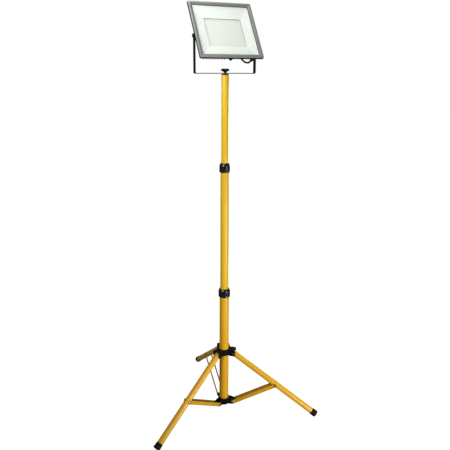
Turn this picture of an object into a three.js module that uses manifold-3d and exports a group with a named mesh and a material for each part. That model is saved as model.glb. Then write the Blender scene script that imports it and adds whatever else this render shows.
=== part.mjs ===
// A tripod work light: a slim LED floodlight on a U-bracket, clamped on top of a
// three-stage telescopic mast with three folding legs. Millimetres, +Z up,
// the lamp looks towards -Y. Each mesh is one separate physical piece.
import * as THREE from "three";
import Module from "manifold-3d";

const wasm = await Module();
wasm.setup();

// ---------------------------------------------------------------- dimensions
const MAST_X = 15.07;             // mast axis from the middle of the footprint
const MAST_Y = -73.3;

const LOWER_OD = 35;              // steel mast tubes
const MID_OD = 30;
const TOP_OD = 25;
const WALL = 1.5;
const LOWER_Z0 = 22;
const LOWER_Z1 = 478;
const MID_Z0 = 394;
const MID_Z1 = 944;
const TOP_Z0 = 862;
const TOP_Z1 = 1254;

const LOWER_COLLAR_Z = 463;       // underside of each twist-lock collar
const UPPER_COLLAR_Z = 928;
const COLLAR_H = 32;
const LOWER_COLLAR_R = 21.6;
const UPPER_COLLAR_R = 19;
const COLLAR_RIBS = 12;

const LEG_ANGLES = [205, 325, 85];   // left, right and rear leg, degrees in plan
const LEG_NAMES = ["left", "right", "rear"];
const HUB_PIN_R = 36;             // hub pivots
const HUB_PIN_Z = 234.3;
const HUB_Z0 = 227;
const HUB_Z1 = 251;
const FOOT_PIN_R = 39;            // pivots of the braces on the bottom spider
const FOOT_PIN_Z = 27;
const EAR_IN = 11.5;              // hub plates, each side of a leg
const EAR_T = 3.2;
const LUG_IN = 7.6;               // bottom spider plates, between a pair of braces
const LUG_T = 3.5;
const LEG_OD = 22;
const LEG_LEN = 391.9;            // hub pivot to the end of the rubber foot
const LEG_DROP = 35.2;            // leg below horizontal, degrees
const BRACE_LEN = 185.5;
const BRACE_RISE = 29.5;          // brace above horizontal, degrees
const BRACE_IN = 11.4;            // a pair of strips, one each side of the leg
const BRACE_W = 14;
const BRACE_T = 1.8;
const PIN_R = 3;
const FOOT_R = 12.8;

const YOKE_HALF = 110;            // outside of the U-bracket
const YOKE_T = 3;
const YOKE_W = 15;
const BAR_Z = 1257.9;             // underside of the crossbar
const PIVOT_Z = 1375;
const TILT = 32.2;                // lamp tipped back, degrees

// The lamp is drawn upright around its pivot axis: x right, y away from the
// viewer, z up its face.
const FRONT = -17.6;              // front plane of the bezel
const MID_H = 14.6;               // centre of the face above the pivot
const LAMP_W = 224;
const LAMP_H = 208;
const RIM = 2.4;                  // thickness of the bezel
const PAD_LOW = MID_H - 90.4;     // terminal pad on the back, low on the right
const PAD_TOP = MID_H - 51.5;
const FIN_TOP = MID_H + 89.8;
const FIN_LOW = PAD_LOW - 1.9;     // lower ends of the fins left of the pad
const WINDOW_H = 11.2;            // centre of the LED window
const GLAND_X = 93;
const GLAND_Z = -64.9;
const LEAD_R = 3;
const BACK = FRONT + 31.6;         // plane of the fin tips and the terminal pad
const COIL_X = 18;                // spare lead, coiled flat against the fins
const COIL_Z = 20;
const COIL_Y = BACK + 10.3;
const COIL_MEAN = 36;
const COIL_HALF = 9.4;            // half the bundle, across the coil
const COIL_DEEP = 6.4;            // and along its axis
const PLUG_X = -62;
const PLUG_Y = BACK + 19.6;
const PLUG_Z = -2;

// ----------------------------------------------------------------- materials
const paint = (color, roughness, metalness) =>
  new THREE.MeshStandardMaterial({ color, roughness, metalness });
const YELLOW = [0xe0aa22, 0.42, 0.1];
const BLACK_PLASTIC = [0x1b1b1d, 0.5, 0];
const BLACK_COAT = [0x141415, 0.55, 0.2];
const GREY_COAT = [0x85857f, 0.5, 0.3];
const STEEL = [0xb9bbbd, 0.3, 1];
const RUBBER = [0x171615, 0.85, 0];
const WHITE = [0xf3f6f2, 0.5, 0];
const GLASS = [0xeef3ee, 0.08, 0];

// ------------------------------------------------------------------- helpers
const rad = (degrees) => (degrees * Math.PI) / 180;

function mesh(name, geometry, look) {
  const made = new THREE.Mesh(geometry, paint(...look));
  made.name = name;
  return made;
}

// Merges points that coincide and drops triangles with no area.
function weld(geometry) {
  const source = geometry.index ? geometry.toNonIndexed() : geometry;
  const p = source.attributes.position;
  const seen = new Map();
  const points = [];
  const ids = [];
  for (let i = 0; i < p.count; i++) {
    const v = [p.getX(i), p.getY(i), p.getZ(i)];
    const key = v.map((c) => Math.round(c * 2e3)).join();
    if (!seen.has(key)) {
      seen.set(key, points.length / 3);
      points.push(...v);
    }
    ids.push(seen.get(key));
  }
  const faces = [];
  for (let i = 0; i < ids.length; i += 3) {
    const [a, b, c] = ids.slice(i, i + 3);
    if (a !== b && b !== c && c !== a) faces.push(a, b, c);
  }
  const out = new THREE.BufferGeometry();
  out.setAttribute("position", new THREE.Float32BufferAttribute(points, 3));
  out.setIndex(faces);
  return outward(out);
}

// Turns a closed surface so that its faces look out.
function outward(geometry) {
  const p = geometry.attributes.position;
  const f = geometry.index.array;
  const a = new THREE.Vector3();
  const b = new THREE.Vector3();
  const c = new THREE.Vector3();
  let volume = 0;
  for (let i = 0; i < f.length; i += 3) {
    a.fromBufferAttribute(p, f[i]);
    b.fromBufferAttribute(p, f[i + 1]);
    c.fromBufferAttribute(p, f[i + 2]);
    volume += a.dot(b.cross(c));
  }
  if (volume < 0) {
    for (let i = 0; i < f.length; i += 3) [f[i], f[i + 1]] = [f[i + 1], f[i]];
  }
  geometry.computeVertexNormals();
  return geometry;
}

function solid(geometry) {
  const g = weld(geometry);
  return new wasm.Manifold(
    new wasm.Mesh({
      numProp: 3,
      vertProperties: Float32Array.from(g.attributes.position.array),
      triVerts: Uint32Array.from(g.index.array),
    }),
  );
}

function surface(manifold) {
  const m = manifold.getMesh();
  const out = new THREE.BufferGeometry();
  out.setAttribute("position", new THREE.Float32BufferAttribute(m.vertProperties, 3));
  out.setIndex([...m.triVerts]);
  out.computeVertexNormals();
  return out;
}

// Joins the first list of geometries and cuts the second list away from it.
function shaped(add, cut = []) {
  let body = wasm.Manifold.union(add.map(solid));
  if (cut.length) body = body.subtract(wasm.Manifold.union(cut.map(solid)));
  return surface(body);
}

// A turned piece about Z from [radius, height] points. Off the axis it closes on itself.
function turned(profile, segments = 24) {
  const points = profile.map(([r, z]) => new THREE.Vector2(r, z));
  const first = profile[0];
  const last = profile[profile.length - 1];
  if (first[0] > 0 || last[0] > 0) points.push(points[0].clone());
  return weld(new THREE.LatheGeometry(points, segments).rotateX(Math.PI / 2));
}

const ring = (outer, inner, z0, z1, segments) =>
  turned([[inner, z0], [outer, z0], [outer, z1], [inner, z1]], segments);

const rod = (radius, z0, z1, segments) =>
  turned([[0, z0], [radius, z0], [radius, z1], [0, z1]], segments);

// The same pieces laid along X or Y.
const alongX = (geometry) => geometry.rotateY(Math.PI / 2);
const alongY = (geometry) => geometry.rotateX(-Math.PI / 2);

const block = (x0, x1, y0, y1, z0, z1) =>
  new THREE.BoxGeometry(x1 - x0, y1 - y0, z1 - z0)
    .translate((x0 + x1) / 2, (y0 + y1) / 2, (z0 + z1) / 2);

// A flat outline in the XZ plane, given thickness from y0 to y1.
function slab(outline, y0, y1, segments = 8) {
  const shape = Array.isArray(outline)
    ? new THREE.Shape(outline.map(([x, z]) => new THREE.Vector2(x, z)))
    : outline;
  const made = new THREE.ExtrudeGeometry(shape, {
    depth: y1 - y0,
    bevelEnabled: false,
    curveSegments: segments,
  });
  return made.rotateX(Math.PI / 2).translate(0, y1, 0);
}

// One rounded rectangle of a loft, facing -Y at depth y.
function frame(w, h, r, y, middle = MID_H, corner = 4) {
  const points = [];
  const centres = [[1, 1], [-1, 1], [-1, -1], [1, -1]];
  centres.forEach(([sx, sz], k) => {
    for (let i = 0; i <= corner; i++) {
      const t = (k + i / corner) * Math.PI / 2;
      points.push([
        sx * (w / 2 - r) + r * Math.cos(t),
        y,
        middle + sz * (h / 2 - r) + r * Math.sin(t),
      ]);
    }
  });
  return points;
}

// Joins rings of points in order. A closed loft runs back to its first ring,
// an open one gets a flat lid at each end.
function loft(rings, closed) {
  const n = rings[0].length;
  const points = rings.flat();
  const faces = [];
  const spans = closed ? rings.length : rings.length - 1;
  for (let k = 0; k < spans; k++) {
    const next = (k + 1) % rings.length;
    for (let i = 0; i < n; i++) {
      const a = k * n + i;
      const b = k * n + (i + 1) % n;
      const c = next * n + (i + 1) % n;
      const d = next * n + i;
      faces.push(a, b, c, a, c, d);
    }
  }
  if (!closed) {
    const top = (rings.length - 1) * n;
    for (let i = 1; i < n - 1; i++) faces.push(0, i + 1, i, top, top + i, top + i + 1);
  }
  const out = new THREE.BufferGeometry();
  out.setAttribute("position", new THREE.Float32BufferAttribute(points.flat(), 3));
  out.setIndex(faces);
  return weld(out);
}

// A round cord through a list of [x, y, z] points.
function cord(points, radius, steps) {
  const path = new THREE.CatmullRomCurve3(
    points.map((p) => new THREE.Vector3(...p)), false, "centripetal");
  const section = new THREE.Shape();
  for (let i = 0; i < 8; i++) {
    const t = rad(45 * i);
    const xy = [radius * Math.cos(t), radius * Math.sin(t)];
    if (i) section.lineTo(...xy);
    else section.moveTo(...xy);
  }
  return weld(new THREE.ExtrudeGeometry(section, { steps, extrudePath: path }));
}

// ---------------------------------------------------------------------- mast
const mastTube = (od, z0, z1) => ring(od / 2, od / 2 - WALL, z0, z1, 36);

// A plastic guide at the bottom of an inner tube: it fills the gap to the outer one.
const guide = (od, outerId, z0) => turned([
  [od / 2 + 0.15, z0], [outerId / 2 - 0.3, z0], [outerId / 2 - 0.3, z0 + 24],
  [od / 2 + 0.15, z0 + 24],
]);

// The fixed part of a twist lock: a sleeve on the outer tube that grips the inner one.
function lockSleeve(od, innerOd, top) {
  const outer = od / 2 + 1.5;
  return turned([
    [od / 2 + 0.15, top - 27], [outer, top - 27], [outer, top + 7],
    [outer - 2.6, top + 10], [innerOd / 2 + 0.35, top + 10],
    [innerOd / 2 + 0.35, top + 0.3], [od / 2 + 0.15, top + 0.3],
  ]);
}

// A twist-lock collar with sloping shoulders and shallow grip flutes.
function collar(radius, od, innerOd, z0) {
  const bore = od / 2 + 1.8;
  const neck = innerOd / 2 + 0.6;
  const body = turned([
    [bore, z0], [radius - 1.6, z0], [radius, z0 + 3], [radius, z0 + 23],
    [radius - 1, z0 + 26.5], [neck + 2.2, z0 + COLLAR_H], [neck, z0 + COLLAR_H],
    [neck, z0 + 27.4], [bore, z0 + 23.6],
  ], 36);
  const flutes = [];
  for (let i = 0; i < COLLAR_RIBS; i++) {
    const turn = rad((i * 360) / COLLAR_RIBS);
    const groove = rod(3, z0 + 4, z0 + 22, 8).translate(radius + 2.3, 0, 0);
    flutes.push(groove.rotateZ(turn));
  }
  return shaped([body], flutes);
}

const mastPlug = () => turned([
  [0, 12], [15.5, 12], [16.6, 13.2], [16.6, 21.4], [15.7, 21.8], [15.7, 44],
  [13, 45], [0, 45],
]);

const mastCap = () => shaped(
  [turned([[0, 1236], [10.7, 1236], [10.7, TOP_Z1 + 0.3], [12.3, TOP_Z1 + 0.3],
    [12.3, TOP_Z1 + 2.7], [11.5, TOP_Z1 + 3.5], [0, TOP_Z1 + 3.5]])],
  [rod(4.2, 1240, 1270, 14)],
);

// ------------------------------------------------------------ leg hub, spider
// One clevis of a spider: two plates joined by a web, pointing along +X.
function clevis(plate, inner, outer, web, pinR, pinZ) {
  const near = slab(plate, -outer, -inner);
  const far = slab(plate, inner, outer);
  const bridge = block(web[0], web[1], -inner - 1, inner + 1, web[2], web[3]);
  const bore = alongY(rod(PIN_R + 0.15, -20, 20, 12)).translate(pinR, 0, pinZ);
  return { add: [near, far, bridge], cut: [bore] };
}

function spider(core, bore, ...arm) {
  const add = [core];
  const cut = [bore];
  for (const angle of LEG_ANGLES) {
    const part = clevis(...arm);
    part.add.forEach((g) => add.push(g.rotateZ(rad(angle))));
    part.cut.forEach((g) => cut.push(g.rotateZ(rad(angle))));
  }
  return shaped(add, cut);
}

function legHub() {
  const core = turned([
    [0, HUB_Z0], [21.4, HUB_Z0], [22.2, HUB_Z0 + 1], [22.2, HUB_Z1 - 1],
    [21.4, HUB_Z1], [0, HUB_Z1],
  ], 32);
  const plate = [
    [14, HUB_Z0], [14, HUB_Z1], [41.5, HUB_Z1], [44.5, HUB_Z1 - 3],
    [44.5, HUB_Z0 + 0.5], [42, HUB_Z0 - 1.8], [27, HUB_Z0 - 1.8], [24, HUB_Z0],
  ];
  return spider(core, rod(LOWER_OD / 2 + 0.35, 200, 280, 36), plate, EAR_IN,
    EAR_IN + EAR_T, [18, 44, HUB_Z1 - 2.6, HUB_Z1 - 0.2], HUB_PIN_R, HUB_PIN_Z);
}

function bottomSpider() {
  const core = turned([
    [0, 15], [20, 15], [21.8, 17], [21.8, 40], [20.8, 41], [0, 41],
  ], 32);
  const plate = [
    [14, 17], [14, 40], [30, 39], [37, 36], [43, 33], [45.5, 29], [45.5, 24],
    [43, 20], [38, 17],
  ];
  const seat = turned([
    [0, 10], [16.9, 10], [16.9, 21.7], [LOWER_OD / 2 + 0.2, 21.7],
    [LOWER_OD / 2 + 0.2, 60], [0, 60],
  ], 36);
  return spider(core, seat, plate, LUG_IN, LUG_IN + LUG_T, [18, 30, 17, 24],
    FOOT_PIN_R, FOOT_PIN_Z);
}

// A headed steel pin across a clevis, on the Y axis.
function pin(half, headR, headT) {
  return turned([
    [0, -half - headT], [headR - 1, -half - headT], [headR, -half],
    [PIN_R - 0.05, -half], [PIN_R - 0.05, half], [headR, half],
    [headR - 1, half + headT], [0, half + headT],
  ], 14);
}

// ---------------------------------------------------------------- legs, braces
// Legs are drawn along +X from the hub pivot, then turned down.
function legTube() {
  const tube = alongX(ring(LEG_OD / 2, LEG_OD / 2 - 1.2, -7.5, LEG_LEN - 5, 28));
  const hole = alongY(rod(PIN_R + 0.15, -20, 20, 12));
  return shaped([tube], [hole]);
}

function legFoot() {
  const cap = alongX(turned([
    [0, LEG_LEN], [FOOT_R - 0.8, LEG_LEN], [FOOT_R, LEG_LEN - 0.8],
    [FOOT_R, LEG_LEN - 5], [LEG_OD / 2 + 1.3, LEG_LEN - 21],
    [LEG_OD / 2 + 0.15, LEG_LEN - 22], [LEG_OD / 2 + 0.15, LEG_LEN - 4.7],
    [0, LEG_LEN - 4.7],
  ], 28));
  // Everything under the floor line is cut off, which leaves a level pad.
  const floor = block(LEG_LEN - 60, LEG_LEN + 60, -30, 30, -60, 0)
    .translate(-LEG_LEN, 0, 0)
    .rotateY(rad(-LEG_DROP))
    .translate(...floorPoint());
  return shaped([cap], [floor]);
}

// The floor under the foot, seen from the leg's own frame.
function floorPoint() {
  const down = HUB_PIN_Z;
  const along = LEG_LEN * Math.cos(rad(LEG_DROP));
  const x = along * Math.cos(rad(LEG_DROP)) + down * Math.sin(rad(LEG_DROP));
  const z = along * Math.sin(rad(LEG_DROP)) - down * Math.cos(rad(LEG_DROP));
  return [x, 0, z];
}

// A flat strip with round ends and a hole at each, its near end pinned at the origin.
function braceStrip(y0) {
  const outline = new THREE.Shape();
  const r = BRACE_W / 2;
  outline.absarc(BRACE_LEN, 0, r, -Math.PI / 2, Math.PI / 2, false);
  outline.absarc(0, 0, r, Math.PI / 2, (3 * Math.PI) / 2, false);
  for (const x of [0, BRACE_LEN]) {
    const hole = new THREE.Path();
    hole.absarc(x, 0, PIN_R + 0.15, 0, 2 * Math.PI, true);
    outline.holes.push(hole);
  }
  return weld(slab(outline, y0, y0 + BRACE_T, 7));
}

// Half of the rivet at the brace's outer end: a short shank and a domed head.
function braceRivet(side) {
  const made = alongY(turned([
    [0, 0.1], [PIN_R - 0.1, 0.1], [PIN_R - 0.1, BRACE_T + 0.25],
    [5.4, BRACE_T + 0.25], [4.6, BRACE_T + 1.7], [0, BRACE_T + 2.6],
  ], 14));
  if (side < 0) made.rotateX(Math.PI);
  return made.translate(BRACE_LEN, side * BRACE_IN, 0);
}

// ---------------------------------------------------------------------- yoke
function yokeBracket() {
  const top = PIVOT_Z - BAR_Z;
  const r = 6;
  const outer = new THREE.Shape();
  const u = YOKE_HALF;
  outer.moveTo(-u, top);
  outer.lineTo(-u, r);
  outer.absarc(-u + r, r, r, Math.PI, 1.5 * Math.PI, false);
  outer.lineTo(u - r, 0);
  outer.absarc(u - r, r, r, 1.5 * Math.PI, 2 * Math.PI, false);
  outer.lineTo(u, top);
  outer.lineTo(u - YOKE_T, top);
  outer.lineTo(u - YOKE_T, r);
  outer.absarc(u - r, r, r - YOKE_T, 2 * Math.PI, 1.5 * Math.PI, true);
  outer.lineTo(-u + r, YOKE_T);
  outer.absarc(-u + r, r, r - YOKE_T, 1.5 * Math.PI, Math.PI, true);
  outer.lineTo(-u + YOKE_T, top);
  const add = [slab(outer, -YOKE_W / 2, YOKE_W / 2, 5)];
  for (const x of [-u, u - YOKE_T]) {
    add.push(alongX(rod(YOKE_W / 2, 0, YOKE_T, 24)).translate(x, 0, top));
  }
  const cut = [
    alongX(rod(4.3, -200, 200, 14)).translate(0, 0, top),
    rod(4.5, -10, 10, 16),
  ];
  for (const x of [-30, 30]) {
    cut.push(rod(3, -10, 10, 10).translate(x - 4, 0, 0));
    cut.push(rod(3, -10, 10, 10).translate(x + 4, 0, 0));
    cut.push(block(x - 4, x + 4, -3, 3, -10, 10));
  }
  return shaped(add, cut);
}

function clampKnob() {
  const core = turned([
    [0, 0.3], [5.3, 0.3], [5.3, 1.4], [5.8, 3], [7.6, 4.4], [10.5, 5.1],
    [12.4, 6.4], [12.4, 11.4], [11, 13], [0, 13.6],
  ], 24);
  const lobes = [];
  for (let i = 0; i < 6; i++) {
    const lobe = turned([
      [0, 5.8], [2.6, 5.8], [3.6, 6.8], [3.6, 11], [2.6, 12.2], [0, 12.2],
    ], 10).translate(11, 0, 0);
    lobes.push(lobe.rotateZ(rad(60 * i)));
  }
  return shaped([core, ...lobes], [rod(4.15, -5, 11, 14)]);
}

// ---------------------------------------------------------------------- lamp
// A thin frame on the housing's rim, with a step down to the glass.
function frontBezel() {
  const w = LAMP_W;
  const h = LAMP_H;
  return loft([
    frame(w, h, 3, FRONT + RIM),
    frame(w, h, 3, FRONT + 0.9),
    frame(w - 1.8, h - 1.8, 2.4, FRONT),
    frame(w - 11, h - 11, 3, FRONT + 0.3),
    frame(w - 24.6, h - 24.6, 4, FRONT + 2),
    frame(w - 25, h - 25, 4, FRONT + RIM),
  ], true);
}

// A low bridge over the fins that the tie's strap passes under.
function tieEyelet() {
  const z0 = COIL_Z + COIL_MEAN - 3;
  return [
    block(COIL_X - 6.2, COIL_X - 3.5, BACK - 9, BACK + 3.4, z0, z0 + 6),
    block(COIL_X + 3.5, COIL_X + 7.6, BACK - 9, BACK + 3.4, z0, z0 + 6),
    block(COIL_X - 6.2, COIL_X + 7.6, BACK + 1.8, BACK + 3.4, z0, z0 + 6),
  ];
}

function rearHousing() {
  const shell = loft([
    frame(LAMP_W, LAMP_H, 3, FRONT + RIM + 0.1),
    frame(LAMP_W, LAMP_H, 3, FRONT + 8.8),
    frame(LAMP_W - 1, LAMP_H - 1, 3, FRONT + 9.2),
    frame(211, 198, 5, FRONT + 9.6),
    frame(205.6, 189, 7, FRONT + 11),
    frame(204, 181, 7, FRONT + 16),
    frame(203, 180.6, 7, FRONT + 22),
    frame(196, 177, 8, FRONT + 24.5),
  ], false);
  const rebate = loft([
    frame(218, 202, 2.6, FRONT),
    frame(218, 202, 2.6, FRONT + 6.6),
  ], false);
  const pan = loft([
    frame(200, 184, 5, FRONT + 6),
    frame(199.5, 183, 5, FRONT + 8.2),
    frame(194, 175, 6, FRONT + 13),
    frame(190, 173, 8, FRONT + 21),
  ], false);
  const add = [shell];
  const fins = 18;
  for (let i = 0; i < fins; i++) {
    const x = -90 + i * 10.6;
    let low = PAD_TOP - 4;
    if (x < 0) low = x > -8 ? PAD_LOW + 0.6 : FIN_LOW;
    add.push(slab([[x - 1.7, low], [x + 1.7, low], [x + 1.7, FIN_TOP],
      [x - 1.7, FIN_TOP]], FRONT + 18, BACK));
  }
  // Flat terminal pad for the cable gland and the breather, low on the right.
  add.push(block(-1, 101.5, FRONT + 12, BACK, PAD_LOW, PAD_TOP));
  for (const s of [-1, 1]) {
    add.push(alongX(rod(9.5, -1.4, 0, 20)).translate(s > 0 ? 103.2 : -101.8, 0, 0));
  }
  add.push(...tieEyelet());
  const cut = [
    rebate,
    pan,
    alongX(rod(4.2, 92, 110, 14)),
    alongX(rod(4.2, -110, -92, 14)),
    alongY(rod(6.2, FRONT + 16, FRONT + 40, 18)).translate(GLAND_X, 0, GLAND_Z),
    rod(4.4, PAD_LOW - 3, PAD_LOW + 12.6, 14).translate(3, FRONT + 24, 0),
  ];
  return shaped(add, cut);
}

const frontGlass = () => loft([
  frame(217, 201, 2.4, FRONT + 5.4),
  frame(217, 201, 2.4, FRONT + 2.9),
  frame(216.4, 200.4, 2.2, FRONT + 2.6),
], false);

const glassSeal = () => loft([
  frame(217, 201, 2.4, FRONT + 5.6),
  frame(205, 189, 3, FRONT + 5.6),
  frame(205, 189, 3, FRONT + 6.5),
  frame(217, 201, 2.4, FRONT + 6.5),
], true);

const reflector = () => loft([
  frame(199, 183, 5, FRONT + 6.4),
  frame(196, 180, 5, FRONT + 6.4),
  frame(135.4, 107.4, 2.4, FRONT + 10.4, WINDOW_H),
  frame(134, 106, 2, FRONT + 11, WINDOW_H),
  frame(134, 106, 2, FRONT + 15.6, WINDOW_H),
  frame(136, 108, 2, FRONT + 15.6, WINDOW_H),
  frame(197, 181, 5, FRONT + 7.6),
], true);

const ledBoard = () => loft([
  frame(150, 122, 3, FRONT + 17.8, WINDOW_H),
  frame(150, 122, 3, FRONT + 16, WINDOW_H),
], false);

// Gland body screwed into the pad, and the domed nut that grips the lead.
const glandBody = () => alongY(turned([
  [LEAD_R + 0.5, -12], [6, -12], [6, 0.3], [8.4, 0.3], [8.4, 3.6],
  [6.4, 3.6], [6.4, 8], [LEAD_R + 0.5, 8],
], 16));

const glandNut = () => alongY(turned([
  [6.7, 3.9], [8, 3.9], [8, 11.5], [7.2, 13.6], [5.6, 15.2], [4.3, 24],
  [LEAD_R + 0.4, 24], [LEAD_R + 0.4, 8.3], [6.7, 8.3],
], 12));

const breather = () => turned([
  [0, -8], [3.6, -7.7], [5.6, -6], [6, -3.8], [6.8, -3.4], [6.8, -0.3],
  [4.2, -0.3], [4.2, 6], [0, 6],
], 16);

// Side bolt: pan head outside the bracket, threaded into the housing's boss.
const pivotBolt = () => turned([
  [0, 93], [4, 93], [4, YOKE_HALF + 0.3], [7.2, YOKE_HALF + 0.3],
  [7.2, YOKE_HALF + 2.2], [6, YOKE_HALF + 3.9], [2.6, YOKE_HALF + 4.2],
  [2.2, YOKE_HALF + 3.2], [0, YOKE_HALF + 3.2],
], 18);

const pivotWasher = () => ring(6.4, 4.4, 103.5, 105.7, 20);

function leadRoute() {
  return [
    [GLAND_X, BACK - 0.6, GLAND_Z],
    [GLAND_X, BACK + 12, GLAND_Z],
    [GLAND_X, BACK + 20, GLAND_Z],
    [GLAND_X, BACK + 26, GLAND_Z],
    [GLAND_X - 1, BACK + 36.5, GLAND_Z + 1.5],
    [GLAND_X - 3.5, BACK + 45.5, GLAND_Z + 6],
    [GLAND_X - 7.5, BACK + 52, GLAND_Z + 13],
    [GLAND_X - 12, BACK + 55.5, GLAND_Z + 22],
    [GLAND_X - 17.5, BACK + 55, GLAND_Z + 32],
    [GLAND_X - 22.5, BACK + 49.5, GLAND_Z + 41.5],
    [GLAND_X - 26, BACK + 41, GLAND_Z + 50],
    [COIL_X + 46.4, BACK + 32.5, COIL_Z - 26.5],
    [COIL_X + 48, BACK + 25, COIL_Z - 18],
    [COIL_X + 49, BACK + 19.5, COIL_Z - 9],
  ];
}

function tailRoute() {
  return [
    [COIL_X - 20, COIL_Y - 1, 67],
    [COIL_X - 35, COIL_Y + 1.6, 65.2],
    [COIL_X - 47, COIL_Y + 4.6, 62.8],
    [COIL_X - 58.5, COIL_Y + 7.6, 60],
    [COIL_X - 68.5, COIL_Y + 9, 53.6],
    [PLUG_X + 4.4, PLUG_Y, 44.4],
    [PLUG_X + 0.8, PLUG_Y, 33.6],
    [PLUG_X, PLUG_Y, PLUG_Z + 24.8],
  ];
}

function leadCoil() {
  const h = COIL_HALF;
  const d = COIL_DEEP;
  return alongY(turned([
    [COIL_MEAN - h, -d + 3], [COIL_MEAN - h + 3, -d], [COIL_MEAN + h - 3, -d],
    [COIL_MEAN + h, -d + 3], [COIL_MEAN + h, d - 3], [COIL_MEAN + h - 3, d],
    [COIL_MEAN - h + 3, d], [COIL_MEAN - h, d - 3],
  ], 28));
}

// A strap round the bundle at the top of the coil and under the housing's eyelet.
function coilTie() {
  const inside = [BACK + 1.5 - COIL_Y, COIL_DEEP + 0.4];
  const h = COIL_HALF + 0.6;
  const t = 1.2;
  const outer = block(-3, 3, inside[0] - t, inside[1] + t, -h - t, h + t);
  const inner = block(-5, 5, inside[0], inside[1], -h, h);
  const lock = block(-3.8, 3.8, -3.5, 3.5, h + t - 0.4, h + t + 4);
  return shaped([outer, lock], [inner]);
}

// A generic two-pin plug, pins down, cable entering at the top.
function plugBody() {
  const body = turned([
    [0, -30], [17.5, -30], [18.3, -28.8], [18.3, -19], [16.6, -15], [12.5, -6],
    [10.5, 4], [9, 8], [6, 10], [5.4, 22], [3.5, 24.6], [0, 24.6],
  ], 24);
  const holes = [-9.5, 9.5].map((x) => rod(2.6, -40, -21.7, 10).translate(x, 0, 0));
  return shaped([body], holes);
}

const plugPin = () => turned([
  [0, -49], [1.6, -49], [2.4, -47.6], [2.4, -22], [0, -22],
], 12);

// ------------------------------------------------------------------ assembly
function place(piece, x = 0, y = 0, z = 0) {
  piece.position.set(x, y, z);
  return piece;
}

function buildMast() {
  const mast = new THREE.Group();
  mast.add(
    mesh("lower_tube", mastTube(LOWER_OD, LOWER_Z0, LOWER_Z1), YELLOW),
    mesh("mid_tube", mastTube(MID_OD, MID_Z0, MID_Z1), YELLOW),
    mesh("top_tube", mastTube(TOP_OD, TOP_Z0, TOP_Z1), YELLOW),
    mesh("mid_tube_guide", guide(MID_OD, LOWER_OD - 2 * WALL, MID_Z0), BLACK_PLASTIC),
    mesh("top_tube_guide", guide(TOP_OD, MID_OD - 2 * WALL, TOP_Z0), BLACK_PLASTIC),
    mesh("lower_lock_sleeve", lockSleeve(LOWER_OD, MID_OD, LOWER_Z1), BLACK_PLASTIC),
    mesh("upper_lock_sleeve", lockSleeve(MID_OD, TOP_OD, MID_Z1), BLACK_PLASTIC),
    mesh("lower_collar", collar(LOWER_COLLAR_R, LOWER_OD, MID_OD, LOWER_COLLAR_Z),
      BLACK_PLASTIC),
    mesh("upper_collar", collar(UPPER_COLLAR_R, MID_OD, TOP_OD, UPPER_COLLAR_Z),
      BLACK_PLASTIC),
    mesh("mast_end_plug", mastPlug(), BLACK_PLASTIC),
    mesh("mast_cap", mastCap(), BLACK_PLASTIC),
  );
  return mast;
}

function buildBase() {
  const base = new THREE.Group();
  base.add(mesh("leg_hub", legHub(), BLACK_PLASTIC));
  base.add(mesh("bottom_spider", bottomSpider(), BLACK_PLASTIC));
  LEG_ANGLES.forEach((angle, i) => base.add(buildLeg(LEG_NAMES[i], angle)));
  return base;
}

function buildLeg(name, angle) {
  const bay = new THREE.Group();
  bay.rotation.z = rad(angle);
  const leg = new THREE.Group();
  leg.position.set(HUB_PIN_R, 0, HUB_PIN_Z);
  leg.rotation.y = rad(LEG_DROP);
  leg.add(mesh(`leg_${name}`, legTube(), YELLOW));
  leg.add(mesh(`foot_${name}`, legFoot(), RUBBER));
  const hubPin = mesh(`hub_pin_${name}`, alongY(pin(EAR_IN + EAR_T + 0.3, 5, 2)), STEEL);
  const brace = new THREE.Group();
  brace.position.set(FOOT_PIN_R, 0, FOOT_PIN_Z);
  brace.rotation.y = rad(-BRACE_RISE);
  brace.add(mesh(`brace_${name}_a`, braceStrip(-BRACE_IN - BRACE_T), YELLOW));
  brace.add(mesh(`brace_${name}_b`, braceStrip(BRACE_IN), YELLOW));
  brace.add(mesh(`rivet_${name}_a`, braceRivet(-1), STEEL));
  brace.add(mesh(`rivet_${name}_b`, braceRivet(1), STEEL));
  const footPin = mesh(`spider_pin_${name}`, alongY(pin(BRACE_IN + BRACE_T + 0.3, 5, 2)), STEEL);
  bay.add(leg, brace, place(hubPin, HUB_PIN_R, 0, HUB_PIN_Z));
  bay.add(place(footPin, FOOT_PIN_R, 0, FOOT_PIN_Z));
  return bay;
}

function buildYoke() {
  const yoke = new THREE.Group();
  yoke.position.z = BAR_Z;
  yoke.add(mesh("yoke_bracket", yokeBracket(), BLACK_COAT));
  yoke.add(place(mesh("clamp_knob", clampKnob(), BLACK_PLASTIC), 0, 0, YOKE_T));
  yoke.add(mesh("clamp_stud", rod(4, -15, YOKE_T + 10.6, 14), STEEL));
  return yoke;
}

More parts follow.
